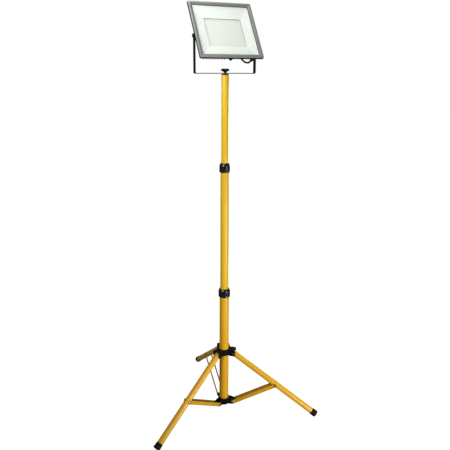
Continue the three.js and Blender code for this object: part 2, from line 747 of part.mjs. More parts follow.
function buildLamp() {
  const lamp = new THREE.Group();
  lamp.position.set(0, 0, PIVOT_Z);
  lamp.rotation.x = rad(-TILT);
  lamp.add(
    mesh("rear_housing", rearHousing(), BLACK_COAT),
    mesh("front_bezel", frontBezel(), GREY_COAT),
    mesh("front_glass", frontGlass(), GLASS),
    mesh("glass_seal", glassSeal(), RUBBER),
    mesh("reflector", reflector(), WHITE),
    mesh("led_board", ledBoard(), WHITE),
  );
  for (const [side, turn] of [["right", 0], ["left", Math.PI]]) {
    const hardware = new THREE.Group();
    hardware.rotation.z = turn;
    hardware.add(mesh(`pivot_bolt_${side}`, alongX(pivotBolt()), STEEL));
    hardware.add(mesh(`pivot_washer_${side}`, alongX(pivotWasher()), BLACK_PLASTIC));
    lamp.add(hardware);
  }
  lamp.add(
    place(mesh("cable_gland", glandBody(), BLACK_PLASTIC), GLAND_X, BACK, GLAND_Z),
    place(mesh("gland_nut", glandNut(), BLACK_PLASTIC), GLAND_X, BACK, GLAND_Z),
    place(mesh("breather_plug", breather(), BLACK_PLASTIC), 3, FRONT + 24, PAD_LOW),
    mesh("power_lead", cord(leadRoute(), LEAD_R, 36), RUBBER),
    mesh("lead_tail", cord(tailRoute(), LEAD_R, 18), RUBBER),
    place(mesh("lead_coil", leadCoil(), RUBBER), COIL_X, COIL_Y, COIL_Z),
    place(mesh("coil_tie", coilTie(), BLACK_PLASTIC), COIL_X, COIL_Y, COIL_Z + COIL_MEAN),
    buildPlug(),
  );
  return lamp;
}

function buildPlug() {
  const plug = new THREE.Group();
  plug.position.set(PLUG_X, PLUG_Y, PLUG_Z);
  plug.add(mesh("plug_body", plugBody(), RUBBER));
  plug.add(place(mesh("plug_pin_left", plugPin(), STEEL), -9.5, 0, 0));
  plug.add(place(mesh("plug_pin_right", plugPin(), STEEL), 9.5, 0, 0));
  return plug;
}

const workLight = new THREE.Group();
workLight.name = "tripod_work_light";
workLight.position.set(MAST_X, MAST_Y, 0);
workLight.add(buildMast(), buildBase(), buildYoke(), buildLamp());

export default workLight;
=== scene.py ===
import math

import bmesh
import bpy
from mathutils import Matrix, Vector


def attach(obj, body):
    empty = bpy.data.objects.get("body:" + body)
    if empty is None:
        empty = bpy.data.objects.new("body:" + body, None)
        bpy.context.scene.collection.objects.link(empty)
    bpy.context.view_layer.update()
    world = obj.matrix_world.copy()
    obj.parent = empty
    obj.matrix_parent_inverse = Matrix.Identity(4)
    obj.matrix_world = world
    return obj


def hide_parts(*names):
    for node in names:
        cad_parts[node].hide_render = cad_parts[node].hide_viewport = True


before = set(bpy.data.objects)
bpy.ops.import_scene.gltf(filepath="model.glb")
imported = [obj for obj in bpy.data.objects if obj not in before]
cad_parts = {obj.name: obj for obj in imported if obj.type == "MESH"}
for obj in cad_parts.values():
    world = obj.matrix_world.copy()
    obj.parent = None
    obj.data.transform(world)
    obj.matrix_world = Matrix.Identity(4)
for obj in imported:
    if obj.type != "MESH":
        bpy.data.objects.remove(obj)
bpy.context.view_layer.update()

MM = 0.001

# ---------- the frame
# Sizes and places in millimetres, as in the CAD model. First the telescopic mast.
MAST_X, MAST_Y = 15.07, -73.3
LOWER_OD, LOWER_Z0, LOWER_Z1 = 35, 22, 478
MID_OD, MID_Z0, MID_Z1 = 30, 394, 944
TOP_OD, TOP_Z0, TOP_Z1 = 25, 862, 1254
TUBE_WALL = 1.5
LOWER_COLLAR_Z, UPPER_COLLAR_Z, COLLAR_H = 463, 928, 32
# The tripod. Each leg hangs from its pin in the hub, each brace from its pin in the spider.
LEG_ANGLES = {"left": 205, "right": 325, "rear": 85}
HUB_PIN_R, HUB_PIN_Z = 36, 234.3
HUB_Z0, HUB_Z1 = 227, 251
FOOT_PIN_R, FOOT_PIN_Z = 39, 27
LEG_LEN, LEG_DROP, LEG_R, LEG_WALL = 391.9, 35.2, 11, 1.2
FOOT_R = 350                    # from the mast to about the middle of a foot
BRACE_LEN, BRACE_RISE = 185.5, 29.5
BRACE_IN, BRACE_T, BRACE_W = 11.4, 1.8, 14
# The yoke, and the lamp in its own coordinates, with its pivot at 0 and its front towards -Y.
BAR_Z, PIVOT_Z, TILT = 1257.9, 1375, 32.2
YOKE_HALF, YOKE_T, YOKE_W = 110, 3, 15
FRONT, MID_H = -17.6, 14.6
BACK = FRONT + 31.6
LAMP_W, LAMP_H = 224, 208
RIM = 2.4                       # thickness of the bezel
PAD_LOW, PAD_TOP = MID_H - 90.4, MID_H - 51.5
FIN_LOW, FIN_TOP = PAD_LOW - 1.9, MID_H + 89.8
WINDOW_W, WINDOW_H, WINDOW_MID = 132, 104, 10.2    # the opening before the LEDs
GLAND_X, GLAND_Z = 93, -64.9
COIL_X, COIL_Z, COIL_MEAN = 18, 20, 36
COIL_Y = BACK + 10.3
PLUG_X, PLUG_Y, PLUG_Z = -62, BACK + 19.6, -2
LEAD_R = 3


def shift(x=0, y=0, z=0):
    return Matrix.Translation((x, y, z))


def turn(degrees, axis):
    return Matrix.Rotation(math.radians(degrees), 4, axis)


MAST = shift(MAST_X, MAST_Y, 0)
YOKE = MAST @ shift(z=BAR_Z)
LAMP = MAST @ shift(z=PIVOT_Z) @ turn(-TILT, "X")
BAY = {name: MAST @ turn(angle, "Z") for name, angle in LEG_ANGLES.items()}
LEG = {n: m @ shift(HUB_PIN_R, 0, HUB_PIN_Z) @ turn(LEG_DROP, "Y") for n, m in BAY.items()}
BRACE = {n: m @ shift(FOOT_PIN_R, 0, FOOT_PIN_Z) @ turn(-BRACE_RISE, "Y")
         for n, m in BAY.items()}
ALONG_X = turn(90, "Y")         # lays a shape's Z along X
ALONG_Y = turn(-90, "X")        # lays a shape's Z along Y
AGAINST_Y = turn(90, "X")       # lays a shape's Z against Y

# ---------- camera
EYE = Vector((-0.7473, -1.7716, 1.2693))
AZIMUTH, PITCH, ROLL = math.radians(-24.223), math.radians(15.549), math.radians(0.247)
LENS, SHIFT_Y = 43.38, -0.00872


def make_camera():
    back = Vector((math.sin(AZIMUTH) * math.cos(PITCH), -math.cos(AZIMUTH) * math.cos(PITCH),
                   math.sin(PITCH)))
    right = Vector((math.cos(AZIMUTH), math.sin(AZIMUTH), 0))
    up = back.cross(right)
    right, up = (right * math.cos(ROLL) + up * math.sin(ROLL),
                 up * math.cos(ROLL) - right * math.sin(ROLL))
    data = bpy.data.cameras.new("camera")
    data.lens = LENS
    data.sensor_width = 36
    data.shift_y = SHIFT_Y
    data.clip_end = 50
    camera = bpy.data.objects.new("camera", data)
    camera.matrix_world = Matrix((right, up, back)).transposed().to_4x4()
    camera.matrix_world.translation = EYE
    bpy.context.collection.objects.link(camera)
    bpy.context.scene.camera = camera


make_camera()


# ---------- materials
class Look:
    """A Principled material and a few shorthands for its nodes."""

    def __init__(self, name, **sockets):
        self.material = bpy.data.materials.new(name)
        self.material.use_nodes = True
        self.tree = self.material.node_tree
        self.shader = self.tree.nodes["Principled BSDF"]
        for key, value in sockets.items():
            self.shader.inputs[key.replace("_", " ")].default_value = value
        self.at = self.add("ShaderNodeTexCoord").outputs["Object"]

    def add(self, kind, values=(), links=()):
        node = self.tree.nodes.new(kind)
        for key, value in dict(values).items():
            if isinstance(key, str) and hasattr(node, key):
                setattr(node, key, value)
            else:
                node.inputs[key].default_value = value
        for key, socket in dict(links).items():
            self.tree.links.new(socket, node.inputs[key])
        return node

    def stretch(self, x, y, z):
        return self.add("ShaderNodeMapping", {"Scale": (x, y, z)}, {"Vector": self.at}).outputs[0]

    def noise(self, scale, detail, at=None):
        values = {"Scale": scale, "Detail": detail, "Roughness": 0.55}
        return self.add("ShaderNodeTexNoise", values, {"Vector": at or self.at}).outputs["Fac"]

    def spread(self, fac, low, high, to_low=0.0, to_high=1.0):
        values = {1: low, 2: high, 3: to_low, 4: to_high}
        return self.add("ShaderNodeMapRange", values, {0: fac}).outputs[0]

    def put(self, value, socket):
        """Sets a socket to a number or a colour, or links another node's output to it."""
        if isinstance(value, tuple):
            socket.default_value = value + (1,)
        elif isinstance(value, (int, float)):
            socket.default_value = value
        else:
            self.tree.links.new(value, socket)

    def math(self, how, a, b):
        node = self.add("ShaderNodeMath", {"operation": how})
        self.put(a, node.inputs[0])
        self.put(b, node.inputs[1])
        return node.outputs[0]

    def blend(self, fac, a, b):
        node = self.add("ShaderNodeMix", {"data_type": "RGBA"})
        for value, index in ((fac, 0), (a, 6), (b, 7)):
            self.put(value, node.inputs[index])
        return node.outputs[2]

    def edges(self):
        """Near 1 on outside corners and edges, where a finish wears."""
        pointy = self.add("ShaderNodeNewGeometry").outputs["Pointiness"]
        return self.spread(pointy, 0.505, 0.56)

    def colour(self, socket):
        self.tree.links.new(socket, self.shader.inputs["Base Color"])

    def rough(self, fac, low, high):
        self.tree.links.new(self.spread(fac, 0.3, 0.7, low, high),
                            self.shader.inputs["Roughness"])

    def bump(self, height, strength, distance):
        node = self.add("ShaderNodeBump", {"Strength": strength, "Distance": distance},
                        {"Height": height})
        self.tree.links.new(node.outputs[0], self.shader.inputs["Normal"])


def painted_steel(name, bright, deep):
    """Stoved enamel on steel tube: slight orange peel, faint runs and handling marks."""
    look = Look(name, IOR=1.45, Specular_IOR_Level=0.36, Coat_Weight=0.12, Coat_Roughness=0.14)
    patches = look.noise(9, 3)
    runs = look.noise(60, 4, look.stretch(1, 1, 0.12))
    tone = look.spread(look.math("ADD", look.math("MULTIPLY", patches, 0.6),
                                 look.math("MULTIPLY", runs, 0.4)), 0.35, 0.65)
    specks = look.spread(look.noise(900, 2), 0.72, 0.8)
    base = look.blend(tone, deep, bright)
    look.colour(look.blend(look.math("MULTIPLY", specks, 0.25), base,
                           tuple(c * 0.55 for c in deep)))
    look.rough(runs, 0.26, 0.38)
    look.bump(look.noise(420, 2), 0.12, 0.0004)
    return look.material


def moulded_plastic(name, dark, pale, rough=(0.3, 0.44), shine=0.16):
    """Injection-moulded nylon: fine spark texture, edges polished a little paler."""
    look = Look(name, IOR=1.48, Specular_IOR_Level=shine)
    clouds = look.noise(45, 3)
    base = look.blend(look.spread(clouds, 0.35, 0.7), dark, tuple(c * 1.35 for c in dark))
    look.colour(look.blend(look.math("MULTIPLY", look.edges(), 0.5), base, pale))
    look.rough(clouds, *rough)
    look.bump(look.noise(1400, 2), 0.3, 0.0002)
    return look.material


def powder_coat(name, dark, pale, rough=(0.5, 0.62), grain=900, metal=0.0, shine=0.12):
    """Textured powder coat over a casting or strip."""
    look = Look(name, IOR=1.5, Metallic=metal, Specular_IOR_Level=shine)
    clouds = look.noise(30, 3)
    fine = look.noise(grain, 3)
    base = look.blend(look.spread(clouds, 0.35, 0.65), dark, tuple(c * 1.2 for c in dark))
    base = look.blend(look.math("MULTIPLY", look.spread(fine, 0.5, 0.75), 0.35), base, pale)
    look.colour(look.blend(look.math("MULTIPLY", look.edges(), 0.4), base, pale))
    look.rough(fine, *rough)
    look.bump(fine, 0.45, 0.0003)
    return look.material


def bright_steel(name, tint=(0.62, 0.62, 0.6)):
    """Zinc plating with turning marks and a faint bloom."""
    look = Look(name, Metallic=1.0, IOR=1.5)
    bloom = look.noise(160, 4)
    look.colour(look.blend(look.spread(bloom, 0.3, 0.7), tuple(c * 0.72 for c in tint), tint))
    look.rough(bloom, 0.22, 0.42)
    look.bump(look.noise(2600, 2, look.stretch(1, 1, 0.2)), 0.15, 0.0001)
    return look.material


def rubber(name, dark=(0.004, 0.004, 0.004), rough=(0.5, 0.68)):
    """Dull black rubber with a little dust on it."""
    look = Look(name, IOR=1.5, Specular_IOR_Level=0.14)
    dust = look.noise(70, 4)
    look.colour(look.blend(look.spread(dust, 0.45, 0.75), dark, tuple(c * 2.1 for c in dark)))
    look.rough(dust, *rough)
    look.bump(look.noise(1800, 3), 0.35, 0.0002)
    return look.material


def white_film(name, base, shade, rough=(0.3, 0.42)):
    """Satin white lacquer of the reflector and the board."""
    look = Look(name, IOR=1.5)
    wash = look.noise(18, 2)
    look.colour(look.blend(look.spread(wash, 0.35, 0.65), shade, base))
    look.rough(wash, *rough)
    look.bump(look.noise(700, 2), 0.08, 0.0002)
    return look.material


def window_glass():
    """Toughened glass seen as a thin pane: clear, faintly green, with a soft sheen."""
    look = Look("toughened_glass", IOR=1.5, Roughness=0.05, Alpha=0.1)
    haze = look.noise(14, 2)
    look.colour(look.blend(look.spread(haze, 0.3, 0.7), (0.8, 0.86, 0.8), (0.88, 0.93, 0.88)))
    look.bump(look.noise(30, 2), 0.02, 0.0004)
    return look.material


# One enamel, painted deeper in tone towards the floor as shade, since less light reaches low down.
# The darker copy is painted shade for the brace strips and the rear leg.
YELLOW_TOP = painted_steel("yellow_enamel_top", (0.88, 0.55, 0.018), (0.82, 0.48, 0.012))
YELLOW_MID = painted_steel("yellow_enamel_mid", (0.86, 0.52, 0.016), (0.8, 0.45, 0.01))
YELLOW_LOW = painted_steel("yellow_enamel_low", (0.84, 0.45, 0.012), (0.78, 0.39, 0.008))
YELLOW_SHADE = painted_steel("yellow_enamel_shade", (0.72, 0.39, 0.012), (0.64, 0.32, 0.008))
# The inner copy is painted shade for the strips' inner faces.
YELLOW_INNER_SHADE = painted_steel("yellow_enamel_inner_shade", (0.4, 0.2, 0.008), (0.32, 0.15, 0.006))
BLACK_NYLON = moulded_plastic("black_nylon", (0.003, 0.003, 0.0038), (0.02, 0.02, 0.024))
GRIP_NYLON = moulded_plastic("grip_nylon", (0.003, 0.003, 0.004), (0.026, 0.026, 0.032),
                             (0.2, 0.32), shine=0.7)
KNOB_NYLON = moulded_plastic("knob_nylon", (0.0028, 0.0028, 0.0042), (0.018, 0.018, 0.026),
                             (0.26, 0.4))
BLACK_CAST = powder_coat("black_casting_coat", (0.0032, 0.0032, 0.0032), (0.016, 0.016, 0.016))
BLACK_STRIP = powder_coat("black_bracket_coat", (0.002, 0.002, 0.002), (0.012, 0.012, 0.012),
                          (0.42, 0.55), shine=0.08)
GREY_CAST = powder_coat("grey_bezel_coat", (0.195, 0.199, 0.183), (0.3, 0.304, 0.28),
                        (0.27, 0.36), grain=1300, metal=0.25, shine=0.5)
ZINC = bright_steel("zinc_plate")
YELLOW_ZINC = bright_steel("yellow_zinc_plate", (0.4, 0.3, 0.12))
DARK_STEEL = bright_steel("dark_steel", (0.07, 0.07, 0.07))
BLACK_OXIDE = bright_steel("black_oxide_steel", (0.022, 0.022, 0.023))
# Pale grey for the crossbar's edges: a painted highlight.
EDGE_HIGHLIGHT = powder_coat("painted_edge_highlight", (0.5, 0.5, 0.49), (0.62, 0.62, 0.61),
                           shine=0.3)
FOOT_RUBBER = rubber("foot_rubber")
LEAD_RUBBER = rubber("lead_rubber", rough=(0.42, 0.58))
SEAL_RUBBER = rubber("seal_rubber", (0.01, 0.01, 0.01))
REFLECTOR = white_film("reflector_lacquer", (0.86, 0.9, 0.845), (0.83, 0.87, 0.815))
# Grey painted shade for the window's recessed wall.
STEP_WALL_SHADE = white_film("step_wall_shade", (0.4, 0.42, 0.4), (0.36, 0.38, 0.36), (0.5, 0.6))
BOARD = white_film("board_mask", (0.79, 0.83, 0.775), (0.76, 0.8, 0.745), (0.4, 0.5))
GLASS = window_glass()


def chip_look():
    """Yellowish phosphor domes, seen unlit."""
    look = Look("led_phosphor", IOR=1.5)
    dome = look.noise(500, 2)
    look.colour(look.blend(look.spread(dome, 0.3, 0.7), (0.66, 0.69, 0.54), (0.72, 0.75, 0.6)))
    look.rough(dome, 0.3, 0.45)
    look.bump(dome, 0.1, 0.0002)
    return look.material


CHIP = chip_look()


# ---------- shapes
# A shape is (points, faces) in millimetres.
STRAIGHT = math.radians(176)    # a corner wider than this isn't rounded


def moved(shape, matrix):
    return [matrix @ Vector(p) for p in shape[0]], shape[1]


def joined(*shapes):
    points, faces = [], []
    for these, those in shapes:
        start = len(points)
        points.extend(these)
        faces.extend(tuple(i + start for i in f) for f in those)
    return points, faces


def rounded(points, radius, closed=True, steps=4):
    """A 2-D outline with its corners turned into arcs. A radius may come with a point."""
    out = []
    n = len(points)
    for i, here in enumerate(points):
        r = here[2] if len(here) > 2 else radius
        p = Vector(here[:2])
        if r <= 0 or (not closed and i in (0, n - 1)):
            out.append(tuple(p))
            continue
        a = Vector(points[i - 1][:2]) - p
        b = Vector(points[(i + 1) % n][:2]) - p
        angle = a.angle(b) if a.length and b.length else math.pi
        if angle > STRAIGHT:
            out.append(tuple(p))
            continue
        reach = min(r / math.tan(angle / 2), 0.45 * a.length, 0.45 * b.length)
        start, end = p + a.normalized() * reach, p + b.normalized() * reach
        for k in range(steps + 1):
            t = k / steps
            out.append(tuple(start * (1 - t) ** 2 + p * 2 * t * (1 - t) + end * t * t))
    return out


def dense(points, step, closed=True):
    """The outline with its long sides cut into steps."""
    out = []
    n = len(points)
    for i in range(n if closed else n - 1):
        a, b = Vector(points[i]), Vector(points[(i + 1) % n])
        count = max(1, math.ceil((b - a).length / step))
        out.extend(tuple(a.lerp(b, k / count)) for k in range(count))
    if not closed:
        out.append(points[-1])
    return out


def turned(profile, radius=0.5, segments=96, ridge=None, step=None):
    """A turned shape about Z. The [r, z] profile is closed, and may start and end on the axis.
    ridge(r, z, angle) gives a new radius."""
    on_axis = profile[0][0] == 0 and profile[-1][0] == 0
    line = rounded(profile, radius, not on_axis)
    if step:
        line = dense(line, step, not on_axis)
    points, faces, rings = [], [], []
    for r, z in line:
        if r < 1e-6:
            points.append(Vector((0, 0, z)))
            rings.append([len(points) - 1] * segments)
            continue
        rings.append(list(range(len(points), len(points) + segments)))
        for k in range(segments):
            t = 2 * math.pi * k / segments
            q = ridge(r, z, t) if ridge else r
            points.append(Vector((q * math.cos(t), q * math.sin(t), z)))
    count = len(rings) if not on_axis else len(rings) - 1
    for i in range(count):
        low, high = rings[i], rings[(i + 1) % len(rings)]
        for k in range(segments):
            n = (k + 1) % segments
            face = []
            for v in (low[k], low[n], high[n], high[k]):
                if v not in face:
                    face.append(v)
            if len(face) > 2:
                faces.append(tuple(face))
    return points, faces


def rod(r, z0, z1, edge=0, segments=40):
    """A solid round rod along Z."""
    return turned([(0, z0), (r, z0), (r, z1), (0, z1)], edge, segments)


def inset(outline, d):
    """A closed 2-D outline moved inwards by d (it runs anticlockwise)."""
    out = []
    n = len(outline)
    for i in range(n):
        p = Vector(outline[i])
        a = (p - Vector(outline[i - 1])).normalized()
        b = (Vector(outline[(i + 1) % n]) - p).normalized()
        side = Vector((-a.y - b.y, a.x + b.x))
        if side.length < 1e-6:
            side = Vector((-a.y, a.x))
        side.normalize()
        out.append(tuple(p + side * d / max(0.4, side.dot(Vector((-a.y, a.x))))))
    return out


def plate(outline, y0, y1, edge=0.5, steps=3):
    """A closed outline in XZ made into a plate from y0 to y1 with rounded edges."""
    area = sum(a[0] * b[1] - b[0] * a[1] for a, b in zip(outline, outline[1:] + outline[:1]))
    if area < 0:
        outline = outline[::-1]
    rings = []
    for k in range(steps + 1):
        t = math.pi / 2 * k / steps
        rings.append((edge * (1 - math.sin(t)), y0 + edge * (1 - math.cos(t))))
    rings += [(d, y0 + y1 - y) for d, y in rings[::-1]]
    points, faces = [], []
    n = len(outline)
    for d, y in rings:
        points.extend(Vector((x, y, z)) for x, z in (inset(outline, d) if d > 1e-6 else outline))
    for k in range(len(rings) - 1):
        for i in range(n):
            j = (i + 1) % n
            faces.append((k * n + i, k * n + j, (k + 1) * n + j, (k + 1) * n + i))
    top = (len(rings) - 1) * n
    faces.append(tuple(range(n - 1, -1, -1)))
    faces.append(tuple(range(top, top + n)))
    return points, faces


def box(x0, x1, y0, y1, z0, z1, edge=0.4):
    """A block with rounded edges."""
    return plate(rounded([(x0, z0), (x1, z0), (x1, z1), (x0, z1)], edge, steps=3), y0, y1, edge)


def stadium(length, r, steps=24):
    """The outline of a strip with round ends, centred on both ends' holes."""
    right = [(length + r * math.sin(t), -r * math.cos(t))
             for t in (math.pi * k / steps for k in range(steps + 1))]
    left = [(-r * math.sin(t), r * math.cos(t))
            for t in (math.pi * k / steps for k in range(steps + 1))]
    return right + left


def panel(w, h, r, y, middle=MID_H, corner=10):
    """A rounded rectangle for a loft, upright at y, with corner points to each corner."""
    ring = []
    for k, (sx, sz) in enumerate(((1, 1), (-1, 1), (-1, -1), (1, -1))):
        for i in range(corner + 1):
            t = (k + i / corner) * math.pi / 2
            ring.append(Vector((sx * (w / 2 - r) + r * math.cos(t), y,
                                middle + sz * (h / 2 - r) + r * math.sin(t))))
    return ring


def lamp_ring(less_w, less_h, r, depth):
    """A ring that much smaller than the lamp's face, at a depth behind its front."""
    return panel(LAMP_W - less_w, LAMP_H - less_h, r, FRONT + depth)


def window_ring(more, r, depth):
    """A ring that much larger than the LED window, which sits a little below the middle."""
    return panel(WINDOW_W + more, WINDOW_H + more, r, FRONT + depth, WINDOW_MID)


def loft(rings, closed=False):
    """A skin over rings of as many points. Closed joins the last ring to the first."""
    n = len(rings[0])
    points = [p for ring in rings for p in ring]
    faces = []
    for k in range(len(rings) if closed else len(rings) - 1):
        m = (k + 1) % len(rings)
        for i in range(n):
            j = (i + 1) % n
            faces.append((k * n + i, k * n + j, m * n + j, m * n + i))
    if not closed:
        top = (len(rings) - 1) * n
        faces.append(tuple(range(n - 1, -1, -1)))
        faces.append(tuple(range(top, top + n)))
    return points, faces


# ---------- pieces
BEVEL_FROM = 38                 # edges bent more than this are rounded, degrees


def raw_object(name, shape):
    mesh = bpy.data.meshes.new(name)
    mesh.from_pydata([tuple(p * MM) for p in map(Vector, shape[0])], [], shape[1])
    mesh.validate()
    made = bpy.data.objects.new(name, mesh)
    bpy.context.collection.objects.link(made)
    outward(mesh)
    return made


def outward(mesh):
    """Makes every shell's faces look outwards."""
    work = bmesh.new()
    work.from_mesh(mesh)
    bmesh.ops.remove_doubles(work, verts=work.verts, dist=1e-7)
    bmesh.ops.recalc_face_normals(work, faces=work.faces)
    work.to_mesh(mesh)
    work.free()


def apply_stack(made):
    """Replaces an object's mesh by what its modifiers make of it."""
    graph = bpy.context.evaluated_depsgraph_get()
    mesh = bpy.data.meshes.new_from_object(made.evaluated_get(graph))
    made.modifiers.clear()
    made.data = mesh


def combine(base, add=(), cut=()):
    """Solid union and difference. Gives a shape in millimetres."""
    made = raw_object("work", base)
    tools = []
    for shapes, how in ((add, "UNION"), (cut, "DIFFERENCE")):
        for shape in shapes:
            tool = raw_object("tool", shape)
            tool.hide_render = True
            tools.append(tool)
            step = made.modifiers.new("step", "BOOLEAN")
            step.operation = how
            step.object = tool
            step.solver = "MANIFOLD"
    apply_stack(made)
    mesh = made.data
    shape = ([v.co / MM for v in mesh.vertices], [tuple(f.vertices) for f in mesh.polygons])
    for o in [made] + tools:
        bpy.data.objects.remove(o)
    return shape


def piece(name, shape, place, body, look, slot, stands_for=(), crease=32, bevel=0, fused=0,
          looks=()):
    """A finished piece. bevel rounds sharp edges, fused melts its shells into one moulding, and
    looks are more materials for its faces."""
    made = raw_object(name, moved(shape, place))
    if fused:
        melt = made.modifiers.new("melt", "REMESH")
        melt.mode = "VOXEL"
        melt.voxel_size = fused * MM
        ease = made.modifiers.new("ease", "SMOOTH")
        ease.factor = 0.5
        ease.iterations = 6
    if bevel:
        soft = made.modifiers.new("soft", "BEVEL")
        soft.width = bevel * MM
        soft.segments = 2
        soft.limit_method = "ANGLE"
        soft.angle_limit = math.radians(BEVEL_FROM)
        soft.use_clamp_overlap = True
    if fused or bevel:
        apply_stack(made)
    mesh = made.data
    mesh.name = name
    mesh.shade_smooth()
    if not fused:
        mesh.set_sharp_from_angle(angle=math.radians(crease))
    mesh.materials.clear()
    for one in (look, *looks):
        mesh.materials.append(one)
    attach(made, body)
    if stands_for:
        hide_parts(*stands_for)
    return made


def carried(look, *nodes):
    """CAD nodes that keep their shape and get a finish."""
    for node in nodes:
        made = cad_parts[node]
        made.data.materials.clear()
        made.data.materials.append(look)


# ---------- cord
# The lead leaves the gland, makes a short loop, winds 5.25 turns flat against
# the fins and ends in a plug. Lamp coordinates, millimetres.
LEAD_ROUTE = [
    (GLAND_X, BACK - 0.6, GLAND_Z), (GLAND_X, BACK + 6, GLAND_Z),
    (GLAND_X, BACK + 12, GLAND_Z), (GLAND_X, BACK + 20, GLAND_Z),
    (GLAND_X, BACK + 26, GLAND_Z), (GLAND_X - 1, BACK + 36.5, GLAND_Z + 1.5),
    (GLAND_X - 3.5, BACK + 45.5, GLAND_Z + 6), (GLAND_X - 7.5, BACK + 52, GLAND_Z + 13),
    (GLAND_X - 12, BACK + 55.5, GLAND_Z + 22), (GLAND_X - 17.5, BACK + 55, GLAND_Z + 32),
    (GLAND_X - 22.5, BACK + 49.5, GLAND_Z + 41.5), (GLAND_X - 26, BACK + 41, GLAND_Z + 50),
    (COIL_X + 46, BACK + 31.5, COIL_Z - 26.5), (COIL_X + 44, BACK + 22.5, COIL_Z - 18),
    (COIL_X + 42.5, BACK + 16, COIL_Z - 9.5),
]
LAYER = 3.1                        # the turns lie in two layers, each this far from COIL_Y
LANES = [(6.2, LAYER), (0, LAYER), (-6.2, LAYER), (-6.2, -LAYER), (0, -LAYER), (6.2, -LAYER)]
SHIFT_FROM, SHIFT_TO = 150, 350    # where one turn steps over to the next, degrees
COIL_END, COIL_STEP = 1890, 15     # degrees


def coil_route():
    """Points round the coil from its right side to its top, one lane a turn."""
    route = []
    last = len(LANES) - 1
    for degrees in range(0, COIL_END + 1, COIL_STEP):
        past = (degrees - SHIFT_FROM) / 360
        lane = min(last, max(0, math.floor(past) + 1))
        (r0, y0), (r1, y1) = LANES[max(0, lane - 1)], LANES[lane]
        t = (past - math.floor(past)) * 360 / (SHIFT_TO - SHIFT_FROM)
        if past < 0 or past >= last:
            t = 1
        t = min(1, t)
        ease = t * t * (3 - 2 * t)
        r = COIL_MEAN + r0 + (r1 - r0) * ease
        if y0 != y1:
            r -= 3.6 * math.sin(math.pi * t) ** 2
        a = math.radians(degrees)
        route.append((COIL_X + r * math.cos(a), COIL_Y + y0 + (y1 - y0) * ease,
                      COIL_Z + r * math.sin(a)))
    return route


TAIL_ROUTE = [
    (COIL_X - 11, COIL_Y - 2.9, 62.4), (COIL_X - 23, COIL_Y - 1.7, 62.8),
    (COIL_X - 35, COIL_Y + 1, 63.2), (COIL_X - 47, COIL_Y + 4.6, 62.8),
    (COIL_X - 58.5, COIL_Y + 7.6, 60), (COIL_X - 68.5, COIL_Y + 9, 53.6),
    (PLUG_X + 4.4, PLUG_Y, 44.4), (PLUG_X + 0.8, PLUG_Y, 33.6), (PLUG_X, PLUG_Y, PLUG_Z + 28),
    (PLUG_X, PLUG_Y, PLUG_Z + 20),
]


def make_lead():
    """The whole cord as one curve, and the place where it leaves the gland."""
    route = LEAD_ROUTE + coil_route() + TAIL_ROUTE
    data = bpy.data.curves.new("power_cord", "CURVE")
    data.dimensions = "3D"
    data.resolution_u = 3
    data.bevel_depth = LEAD_R * MM
    data.bevel_resolution = 5
    data.use_fill_caps = True
    line = data.splines.new("NURBS")
    line.points.add(len(route) - 1)
    for point, at in zip(line.points, route):
        point.co = (*(LAMP @ Vector(at) * MM), 1)
    line.order_u = 4
    line.use_endpoint_u = True
    line.use_smooth = True
    data.materials.append(LEAD_RUBBER)
    made = bpy.data.objects.new("power_cord", data)
    bpy.context.collection.objects.link(made)
    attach(made, "lamp")
    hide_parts("power_lead", "lead_coil", "lead_tail")
    return made, LAMP @ Vector(route[0]) * MM


power_cord, cord_exit = make_lead()


def make_tie():
    """The coil's tie: a strap round the bundle and under the housing's eyelet, with its lock."""
    low, high, half = BACK + 1.5 - COIL_Y, 6.8, 9.9    # the bundle's section
    t = 1.1

    def loop(x, grow):
        out = rounded([(low - grow, -half - grow), (high + grow, -half - grow),
                       (high + grow, half + grow), (low - grow, half + grow)], 2.4 + grow,
                      steps=6)
        return [Vector((x, y, z)) for y, z in out]

    strap = loft([loop(-2.6, t), loop(-3, t - 0.3), loop(-3, 0.2), loop(-2.6, 0),
                  loop(2.6, 0), loop(3, 0.2), loop(3, t - 0.3), loop(2.6, t)], True)
    lock = box(-3.8, 3.8, -3.5, 3.5, half + t - 0.5, half + t + 3.6, 0.6)
    end = moved(box(-2.4, 2.4, -0.6, 0.6, half + t + 2, half + t + 8, 0.4), shift(y=1.2))
    shape = combine(strap, [lock, end])
    place = LAMP @ shift(COIL_X, COIL_Y, COIL_Z + COIL_MEAN)
    return piece("cord_tie", shape, place, "lamp", KNOB_NYLON, "black_plastic", ["coil_tie"])


coil_tie = make_tie()


def make_plug():
    """A two-pin plug with a fluted collar and a ribbed sleeve."""
    def grip(r, z, t):
        if -27 < z < -8:
            return r - 0.5 * max(0, math.cos(18 * t)) ** 2 * min(1, (z + 27) / 3, (-8 - z) / 3)
        return r

    body = turned([(0, -30), (17.5, -30, 1), (18.3, -28.4, 1), (18.3, -19, 3), (16.6, -15, 4),
                   (12.5, -6, 5), (10.5, 4, 3), (9, 8, 1.5), (6.4, 9.5, 1.2), (5.4, 16),
                   (4.6, 24.2), (0, 24.6)], 0.5, 108, grip, 0.8)
    rings = [turned([(3.4, z), (6.9 - 0.16 * (z - 10), z), (6.9 - 0.16 * (z - 10), z + 1.5),
                     (3.4, z + 1.5)], 0.4, 60) for z in (11, 13.6, 16.2, 18.8, 21.4)]
    holes = [moved(rod(2.6, -40, -21.7, segments=32), shift(x)) for x in (-9.5, 9.5)]
    shape = combine(body, rings, holes)
    place = LAMP @ shift(PLUG_X, PLUG_Y, PLUG_Z)
    made = [piece("mains_plug", shape, place, "lamp", LEAD_RUBBER, "black_rubber", ["plug_body"])]
    for name, x in (("left", -9.5), ("right", 9.5)):
        pin = turned([(0, -49), (1.9, -49, 1.5), (2.4, -46.8, 1), (2.4, -22), (0, -22)], 0.3, 40)
        made.append(piece(f"mains_pin_{name}", pin, place @ shift(x), "lamp", ZINC, "zinc_steel",
                          [f"plug_pin_{name}"]))
    return made


plug = make_plug()


